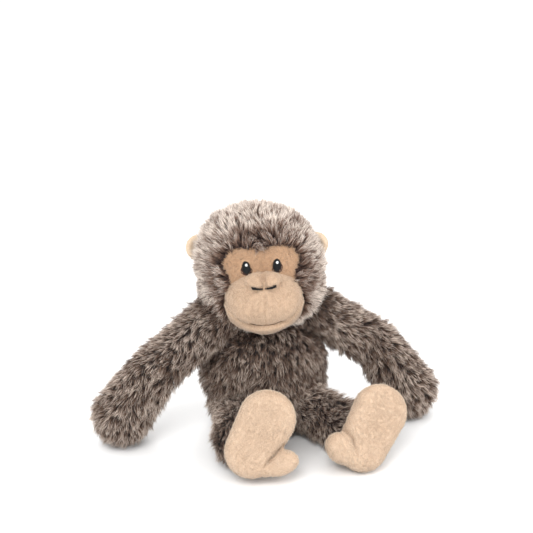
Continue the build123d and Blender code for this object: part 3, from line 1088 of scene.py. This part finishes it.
    def build(self) -> None:
        """Makes and places every piece of the head."""
        skin = self.skin()
        for name, seed, way in (("head_pile_left", 11, 1), ("head_pile_right", 12, -1)):
            pile = grow(name, skin, HEAD_CUT, self.brush, seed, shade=self.shade,
                        keep=lambda rows, way=way: self.grows(rows, way), trim=self.trim)
            place(Bench.finish(pile, self.finishes.head), "head")
        place(skin, "head",
              replaces=["head_left_panel", "head_right_panel", "head_stuffing"])
        face = self.face()
        nap = grow("face_nap", face, FACE_NAP, self.brush, 13,
                   keep=lambda rows: self.faces_out(rows) * self.off_eyes(rows))
        place(Bench.finish(nap, self.finishes.face), "head")
        place(face, "head", replaces=["face_panel"])
        muzzle = self.muzzle()
        nap = grow("muzzle_nap", muzzle, MUZZLE_NAP, self.muzzle_brush, 14,
                   keep=lambda rows: self.faces_out(rows) * self.off_stitches(rows))
        place(Bench.finish(nap, self.finishes.muzzle), "head")
        self.nostrils(muzzle)
        self.mouth_stitches(muzzle)
        place(muzzle, "head",
              replaces=["muzzle_left_panel", "muzzle_right_panel", "chin_panel", "muzzle_stuffing"])
        self.eyes()
        for side in Side:
            ear = self.ear(side)
            nap = grow(f"ear_{side.word}_nap", ear, EAR_NAP, lambda rows: rows - np.array(self.middle), 15)
            place(Bench.finish(nap, self.finishes.ear), "head")
            panels = [f"ear_{side.word}_front_panel", f"ear_{side.word}_back_panel"]
            place(ear, "head", replaces=panels)

    def grows(self, rows: np.ndarray, way: int) -> np.ndarray:
        """True where long pile grows on one half of the head."""
        own = self.local(rows)
        return (own[:, 0] * way >= 0) & ~self.bare(own)

    def trim(self, rows: np.ndarray) -> np.ndarray:
        """The share of the full length: more right of the crown, less on top, low down and by the ears."""
        own = self.local(rows)
        x, z = own[:, 0], own[:, 2]
        gaps = (np.linalg.norm(own - self.ear_at(side)[0], axis=1) for side in Side)
        at_ears = sum(1 - smooth_step(gap, 10, 20) for gap in gaps)
        changes = [(0.12, smooth_step(-x, 0, 40) * smooth_step(z, 0, 30)), (-0.16, smooth_step(z, 44, 56)),
                   (-0.2, smooth_step(x, 20, 45) * smooth_step(-z, -5, 20)),
                   (-0.22, smooth_step(-x, 25, 48) * (1 - smooth_step(z, -5, 25))),
                   (-0.15, smooth_step(x, 30, 48) * smooth_step(z, 0, 20)),
                   (-0.35, smooth_step(-z, 44, 56)), (-0.4, at_ears)]
        return 1.0 + sum(share * where for share, where in changes)

    def faces_out(self, rows: np.ndarray) -> np.ndarray:
        """True on the outside of the face's front, where short nap shows."""
        own = self.local(rows)
        return np.linalg.norm(own, axis=1) > self.radius - 0.6

    def off_eyes(self, rows: np.ndarray) -> np.ndarray:
        """False on the eyes and just round them, so that no nap lies over their stitches."""
        own = self.local(rows)
        clear = np.ones(len(own), bool)
        for side in Side:
            off = own - self.spot(f"eye_{side.word}")
            clear &= np.hypot(off[:, 0] / 5.0, (off[:, 2] - self.eye_lift) / 6.8) > 1
        return clear

    def off_stitches(self, rows: np.ndarray) -> np.ndarray:
        """False close to the stitches under the nose."""
        own = self.local(rows)
        near = (np.abs(own[:, 2] - self.nostril_line(own[:, 0])) < 2.2) & (np.abs(own[:, 0]) < 12.5)
        return ~(near & (own[:, 1] < -60))

    def muzzle_brush(self, rows: np.ndarray) -> np.ndarray:
        """The muzzle's nap is stroked outwards and down from the nose."""
        own = self.local(rows)
        return self.turned(own - np.array([0.0, -60.0, 14.0]))


# ---------------------------------------------------------------- torso and neck
@dataclass
class Torso:
    """The egg-shaped body. Sizes in millimetres."""

    finishes: Finishes
    belly_height: float = 44.0
    chest_height: float = 84.0

    def skin(self) -> bpy.types.Object:
        """The body's cover under the pile, flat where it sits."""
        low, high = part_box("torso_stuffing")
        half_width = (high.x - low.x) / 2 / MM + 3.0
        half_depth = (high.y - low.y) / 2 / MM + 3.0
        eggs = [((0, 0, self.belly_height), (half_width, half_depth, 47)),
                ((0, 0, self.belly_height - 12), (half_width - 1, half_depth - 1, 40)),
                ((0, 0, self.chest_height - 10), (half_width + 1, half_depth - 2, 46)),
                ((-7, 0, self.belly_height + 18), (half_width - 1, half_depth - 5, 44)),
                ((0, 0, self.chest_height), (half_width - 6, half_depth - 4, 38))]
        parts = [Bench.ball(Vector(at) * MM, [r * MM for r in radii], sides=40) for at, radii in eggs]
        made = Bench.fuse("torso_cover", parts, 3.0 * MM, 10)
        rest_on_floor(made, 0.4 * MM)
        return Bench.finish(made, self.finishes.body)

    def shade(self, rows: np.ndarray) -> np.ndarray:
        """Painted shade: the body's front is darkest right under the chin, where the head shades it, and dark in
        the creases where the arms are sewn on.
        """
        chin_shadow = np.exp(-((rows[:, 2] / MM - 104) / 22) ** 2) * (rows[:, 1] < 0)
        return 0.03 - 0.15 * chin_shadow - 0.4 * self.near_arms(rows)

    def near_arms(self, rows: np.ndarray) -> np.ndarray:
        """1 on the seams where the arms are sewn on, falling to 0 a little way from them."""
        total = np.zeros(len(rows))
        for side in Side:
            shoulder, elbow = joint_at(f"shoulder_raise_{side.word}"), joint_at(f"elbow_{side.word}")
            way = np.array((elbow - shoulder).normalized())
            own = rows - np.array(shoulder)
            off = np.linalg.norm(own - (own @ way)[:, None] * way, axis=1)
            total += np.exp(-((off / MM - 24) / 5) ** 2)
        return np.clip(total, 0, 1)

    def brush(self, rows: np.ndarray) -> np.ndarray:
        """The pile lies down the body and a little outwards."""
        return np.tile([0.0, 0.0, -1.0], (len(rows), 1)) + 0.25 * unit(rows * [1, 1, 0])

    def build(self) -> None:
        """Makes and places the body's cover and pile."""
        skin = self.skin()
        for name, seed, way in (("torso_pile_front", 21, -1), ("torso_pile_back", 22, 1)):
            pile = grow(name, skin, TORSO_CUT, self.brush, seed, shade=self.shade,
                        trim=lambda rows: 1 - 0.45 * self.near_arms(rows),
                        keep=lambda rows, way=way: (rows[:, 1] * way >= 0) & (rows[:, 2] > 2 * MM))
            place(Bench.finish(pile, self.finishes.body), "torso")
        panels = [f"torso_{part}_panel" for part in ("front", "back_left", "back_right")]
        place(skin, "torso", replaces=[*panels, "torso_stuffing"])


# ---------------------------------------------------------------- arms
@dataclass
class Arm:
    """One long floppy arm with a plain rounded hand. Sizes in millimetres."""

    finishes: Finishes
    side: Side
    shoulder_radius: float = 20.0
    elbow_radius: float = 20.5
    hand_radius: float = 25.0
    upper_steps: int = 11
    fore_steps: int = 8
    bend_reach: float = 16.0
    shoulder_lift: float = field(init=False)
    elbow_shift: Vector = field(init=False)
    hand_shift: Vector = field(init=False)

    def __post_init__(self) -> None:
        """Settles how far the elbow and the hand's end sag from the middle of their joints."""
        left = self.side is Side.LEFT
        self.shoulder_lift = 11.0 if left else 16.0
        self.elbow_shift = Vector((-4.0, 0, 2.0) if left else (4.0, 0, -0.5)) * MM
        self.hand_shift = Vector((-2, -6, -1) if left else (1, 3, 0)) * MM

    def path(self) -> list[tuple[Vector, float]]:
        """Middles and radii of the arm's stuffing, from the shoulder to the hand."""
        word = self.side.word
        shoulder, elbow = joint_at(f"shoulder_raise_{word}"), joint_at(f"elbow_{word}")
        hand = centre_of(f"hand_{word}_pellet_bag")
        bend, end = elbow + self.elbow_shift, hand + self.hand_shift
        stops = []
        for t in np.linspace(0, 1, self.upper_steps + 1):
            rise = self.shoulder_lift * (1 - t) ** 1.1 * MM
            radius = self.shoulder_radius + (self.elbow_radius - self.shoulder_radius) * t
            stops.append((shoulder.lerp(bend, t) + UP * rise, radius))
        for t in np.linspace(0, 1, self.fore_steps + 1)[1:]:
            stops.append((bend.lerp(end, t), self.elbow_radius + (self.hand_radius - self.elbow_radius) * t))
        return stops

    def build(self) -> None:
        """Makes and places the arm's cover and pile."""
        word = self.side.word
        stops = self.path()
        skin = Bench.finish(limb_skin(f"arm_{word}_cover", stops), self.finishes.body)
        elbow, hand = joint_at(f"elbow_{word}"), stops[-1][0]
        shoulder = stops[0][0]
        fore = (hand - elbow).normalized()
        upper = (elbow - shoulder).normalized()
        tip = hand + fore * 34 * MM

        def brush(rows: np.ndarray) -> np.ndarray:
            """Down the upper arm, then down the forearm, and a little towards the floor."""
            past = smooth_step((rows - np.array(elbow)) @ np.array(fore), -25 * MM, 15 * MM)[:, None]
            lie = np.array(upper) * (1 - past) + unit(np.array(tip) - rows) * past
            return lie + np.array([0.0, 0.0, -0.2])

        def shade(rows: np.ndarray) -> np.ndarray:
            """Painted shade: the hand's end is redder and darker near the floor, where the floor shades it, and the
            arm darker at its root, in the crease where it is sewn to the body; the arm's top is lighter.
            """
            low = 1 - smooth_step(rows[:, 2], 6 * MM, 24 * MM)
            root = 1 - smooth_step((rows - np.array(shoulder)) @ np.array(upper), 4 * MM, 16 * MM)
            return 0.09 - 0.24 * low - 0.3 * root

        pile = grow(f"arm_{word}_pile", skin, ARM_CUT, brush, 31 + self.side.value, shade=shade)
        half = (upper + fore).normalized() * self.bend_reach * MM
        bend = (f"upper_arm_{word}", f"forearm_{word}", elbow - half, elbow + half)
        place(Bench.finish(pile, self.finishes.body), bend=bend)
        layers = [f"{part}_{word}_{layer}" for part in ("upper_arm", "forearm")
                  for layer in ("cover", "stuffing")]
        place(skin, bend=bend, replaces=layers)


# ---------------------------------------------------------------- legs and feet
@dataclass
class Leg:
    """One short leg, which ends behind the foot in a furry heel. Sizes in millimetres."""

    finishes: Finishes
    side: Side
    bend_reach: float = 14.0
    radius: float = field(init=False)
    end_shift: Vector = field(init=False)

    def __post_init__(self) -> None:
        """Settles how the leg's stuffed end sags beside and under the foot."""
        self.radius = 20.5 if self.side is Side.LEFT else 23.5
        self.end_shift = Vector((-1, -1, -5) if self.side is Side.LEFT else (-9, 0, -3)) * MM

    def build(self) -> None:
        """Makes and places the leg's cover and pile."""
        word = self.side.word
        hip, ankle = joint_at(f"hip_raise_{word}"), joint_at(f"ankle_{word}")
        way = (ankle - hip).normalized()
        root = hip - way * 12 * MM
        end = ankle + self.end_shift
        stops = [(root.lerp(end, i / 8), self.radius + (1.5 if i > 5 else 0)) for i in range(9)]
        skin = limb_skin(f"leg_{word}_plush", stops)
        rest_on_floor(skin, 0.5 * MM)
        Bench.finish(skin, self.finishes.body)

        def shade(rows: np.ndarray) -> np.ndarray:
            """Painted shade: the heel's end, tucked behind the foot by the floor, is darkest."""
            return 0.08 - 0.3 * smooth_step((rows - np.array(ankle)) @ np.array(way), -8 * MM, 16 * MM)

        pile = grow(f"leg_{word}_pile", skin, LEG_CUT, lambda rows: np.array(way) + [0.0, 0.0, -0.35],
                    51 + self.side.value, shade=shade, keep=lambda rows: rows[:, 2] > 1 * MM)
        half = way * self.bend_reach * MM
        bend = (f"leg_{word}", f"foot_{word}", ankle - half, ankle + half)
        place(Bench.finish(pile, self.finishes.body), bend=bend)
        place(skin, bend=bend, replaces=[f"leg_{word}_cover", f"leg_{word}_stuffing"])


@dataclass(frozen=True)
class FootCut:
    """One foot's outline in millimetres: each oval's place inwards and up from the ankle, then its half sizes.

    The toe is tilted in degrees, and the crease is three points from the outline inwards. The web, where
    there is one, fills the corner between heel and toe.
    """

    ball: Oval
    heel: Oval
    toe: Oval
    toe_tilt: float
    crease: tuple[tuple[float, float], ...]
    web: Optional[Oval] = None


FOOT_CUTS = {
    Side.RIGHT: FootCut((7, 20, 27, 27), (0.5, -13, 25, 25), (29, -17, 18, 11), 30,
                        ((28, 1), (20.5, -13), (13, -26)), (14, -21.5, 16, 11.5)),
    Side.LEFT: FootCut((-8, 17.5, 26.5, 26.5), (-4, -19, 24, 25), (14.5, -30, 16.5, 13.5), 20,
                       ((20, -12), (9.5, -19), (0, -34))),
}


@dataclass
class Foot:
    """One bare foot: a pillow with the big toe folded out beside the heel. Sizes in millimetres."""

    finishes: Finishes
    side: Side
    heel_down: float = 17.5
    pillow_out: float = 31.5
    half_thickness: float = 12.8
    rounding: float = 11.0
    ankle: Vector = field(init=False)
    turn: Matrix = field(init=False)

    def __post_init__(self) -> None:
        """Reads the foot's place and tilt from the frame."""
        word = self.side.word
        self.ankle = joint_at(f"ankle_{word}")
        axis = next(j for j in frame["joints"] if j["name"] == f"ankle_{word}")["axis"]
        x = -Vector(axis)
        to_heel = centre_of(f"foot_{word}_pellet_bag") - self.ankle
        slope = math.atan2(self.heel_down, self.pillow_out)
        z = (Matrix.Rotation(-slope, 3, x) @ to_heel).normalized()
        self.turn = Matrix((x, z.cross(x), z)).transposed()

    def at(self, inwards: float, up: float, out: float) -> Vector:
        """A point in the foot's own millimetres: towards the other foot, up the foot, out of the sole."""
        return self.ankle + self.turn @ (Vector((-self.side.value * inwards, up, out)) * MM)

    def local(self, rows: np.ndarray) -> np.ndarray:
        """Points in the foot's own millimetres, with the first axis inwards."""
        own = (rows - np.array(self.ankle)) @ np.array(self.turn) / MM
        return own * [-self.side.value, 1, 1]

    def cushion(self, oval: Oval, thinner: float = 0.0, sharper: float = 0.0, out: float = 0.0,
                tilt: float = 0.0) -> bpy.types.Object:
        """One oval cushion of the foot's stuffing.

        Args:
            oval: its place inwards and up from the ankle, then its half sizes.
            thinner: how much less thick it is than the foot.
            sharper: how much less rounded its edges are.
            out: how far it stands out of the sole.
            tilt: how far it is turned in the sole's plane, in degrees.

        Returns:
            The new object.
        """
        inwards, up, wide, tall = oval
        half = [wide * MM, tall * MM, (self.half_thickness - thinner) * MM]
        turn = self.turn @ Matrix.Rotation(math.radians(tilt), 3, "Z")
        middle = self.at(inwards, up, self.pillow_out + out)
        return Bench.pillow(middle, half, turn, (self.rounding - sharper) * MM)

    def crease(self, own: np.ndarray) -> np.ndarray:
        """How deep the stitches pull the cover in, which is most where the toe's fold starts."""
        line = np.array(FOOT_CUTS[self.side].crease)
        steps = np.linspace(0, 2, 60)
        curve = np.stack([np.interp(steps, [0, 1, 2], line[:, i]) for i in range(2)], 1)
        gaps = np.linalg.norm(own[:, None, :2] - curve[None], axis=2)
        nearest = gaps.argmin(1)
        gap, share = gaps[np.arange(len(own)), nearest], steps[nearest] / 2
        depth = 4.4 * np.exp(-(gap / 1.5) ** 2) + 2.0 * np.exp(-(gap / 5.0) ** 2)
        return depth * (1 - smooth_step(share, 0.5, 1.0)) * smooth_step(own[:, 2], 26, 34)

    def skin(self) -> bpy.types.Object:
        """The foot's cover, with the stitched crease that folds the toe out."""
        cut = FOOT_CUTS[self.side]
        ovals = [tuple(a + (b - a) * i / 4 for a, b in zip(cut.ball, cut.heel)) for i in range(5)]
        parts = [self.cushion(oval) for oval in ovals]
        if cut.web:
            parts.append(self.cushion(cut.web, thinner=1, sharper=1))
        tilt = -self.side.value * cut.toe_tilt
        parts.append(self.cushion(cut.toe, thinner=0.5, sharper=0.8, out=0.5, tilt=tilt))
        made = Bench.fuse(f"foot_{self.side.word}_cover", parts, 1.5 * MM, 9)
        rows = points_of(made)
        own = self.local(rows)
        reach = np.hypot((own[:, 0] - cut.ball[0]) / 30, (own[:, 1] - 2) / 42)
        hollow = 1.6 * np.exp(-(reach / 0.55) ** 2) * smooth_step(own[:, 2], 36, 42)
        set_points(made, rows - np.array(self.turn)[:, 2] * ((hollow + self.crease(own)) * MM)[:, None])
        rest_on_floor(made, 0.4 * MM)
        return Bench.finish(made, self.finishes.foot)

    def shade(self, rows: np.ndarray) -> np.ndarray:
        """Painted light and shade: the sole's nap is darker in its hollow middle, where shade falls, and pale round
        the rim, where the fuzz seen edge-on catches the light.
        """
        own = self.local(rows)
        cut = FOOT_CUTS[self.side]
        reach = np.hypot((own[:, 0] - cut.ball[0] + 2) / cut.ball[2], (own[:, 1] - 4) / 44)
        return 0.08 + 0.42 * smooth_step(reach, 0.6, 1.0) - 0.25 * np.exp(-(reach / 0.5) ** 2)

    def build(self) -> None:
        """Makes and places the foot's cover and its short nap."""
        word = self.side.word
        skin = self.skin()
        heel = self.at(-20, -90, 34)
        nap = grow(f"foot_{word}_nap", skin, FOOT_NAP, towards(heel), 61 + self.side.value, shade=self.shade)
        place(Bench.finish(nap, self.finishes.foot), f"foot_{word}")
        place(skin, f"foot_{word}",
              replaces=[f"foot_{word}_sole_panel", f"foot_{word}_top_panel", f"foot_{word}_stuffing"])


# ---------------------------------------------------------------- filling
@dataclass
class Filling:
    """What the covers hold: fibre, pouches and beads, which keep their frame shapes."""

    finishes: Finishes

    def by_word(self) -> dict[str, bpy.types.Material]:
        """The finish that goes with a word in a node's name. The first word that is found counts."""
        return {"pellet_bag": self.finishes.pouch, "pellets": self.finishes.beads, "seam": self.finishes.body}

    def dress(self) -> None:
        """Gives each inner node its finish."""
        for name, node in frame["nodes"].items():
            if node.hide_render:
                continue
            material = next((finish for word, finish in self.by_word().items() if word in name),
                            self.finishes.fibre)
            node.data.materials.clear()
            node.data.materials.append(material)
            LOG.info("%s: dressed in %s", name, material.name)


# ---------------------------------------------------------------- studio
@dataclass
class Studio:
    """A pale floor, soft light and the camera."""

    azimuth: float = -17.0
    elevation: float = 20.0
    distance: float = 1.1
    look_at: Vector = field(default_factory=lambda: Vector((0, 0, 174)) * MM)
    lens: float = 74.3

    def floor(self) -> None:
        """A wide matt floor."""
        Bench.clear()
        bpy.ops.mesh.primitive_plane_add(size=12.0, location=(0, 0, 0))
        made = bpy.context.active_object
        made.name = "floor"
        made.data.materials.append(FloorPaper("floor_paper").material())

    def light(self, name: str, at: Sequence[float], size: float, power: float) -> None:
        """One soft square light that faces the toy."""
        data = bpy.data.lights.new(name, "AREA")
        data.shape, data.size, data.energy = "SQUARE", size, power
        made = bpy.data.objects.new(name, data)
        made.location = at
        made.rotation_euler = (self.look_at * 0.6 - Vector(at)).to_track_quat("-Z", "Y").to_euler()
        bpy.context.scene.collection.objects.link(made)

    def build(self) -> None:
        """Makes the floor, lights, sky and camera."""
        self.floor()
        self.light("key", (-0.9, -1.4, 1.9), 1.3, 34.0)
        self.light("fill", (1.5, -1.2, 1.1), 1.6, 13.0)
        self.light("back", (0.3, 1.6, 1.7), 1.4, 22.0)
        world = bpy.data.worlds.new("studio")
        bpy.context.scene.world = world
        world.use_nodes = True
        world.node_tree.nodes["Background"].inputs[0].default_value = (1.0, 1.0, 1.0, 1.0)
        world.node_tree.nodes["Background"].inputs[1].default_value = 1.08
        a, e = math.radians(self.azimuth), math.radians(self.elevation)
        back = Vector((math.sin(a) * math.cos(e), -math.cos(a) * math.cos(e), math.sin(e)))
        data = bpy.data.cameras.new("camera")
        data.lens, data.sensor_width = self.lens, 36.0
        camera = bpy.data.objects.new("camera", data)
        camera.location = self.look_at + back * self.distance
        camera.rotation_euler = back.to_track_quat("Z", "Y").to_euler()
        bpy.context.scene.collection.objects.link(camera)
        bpy.context.scene.camera = camera
        bpy.context.scene.view_settings.view_transform = "Standard"


def main() -> None:
    """Builds the toy piece by piece, then the studio."""
    logging.basicConfig(level=logging.INFO, format="%(name)s %(message)s")
    finishes = Finishes()
    Studio().build()
    Head(finishes).build()
    Torso(finishes).build()
    for side in Side:
        Arm(finishes, side).build()
        Leg(finishes, side).build()
        Foot(finishes, side).build()
    Filling(finishes).dress()


if __name__ == "__main__":
    main()
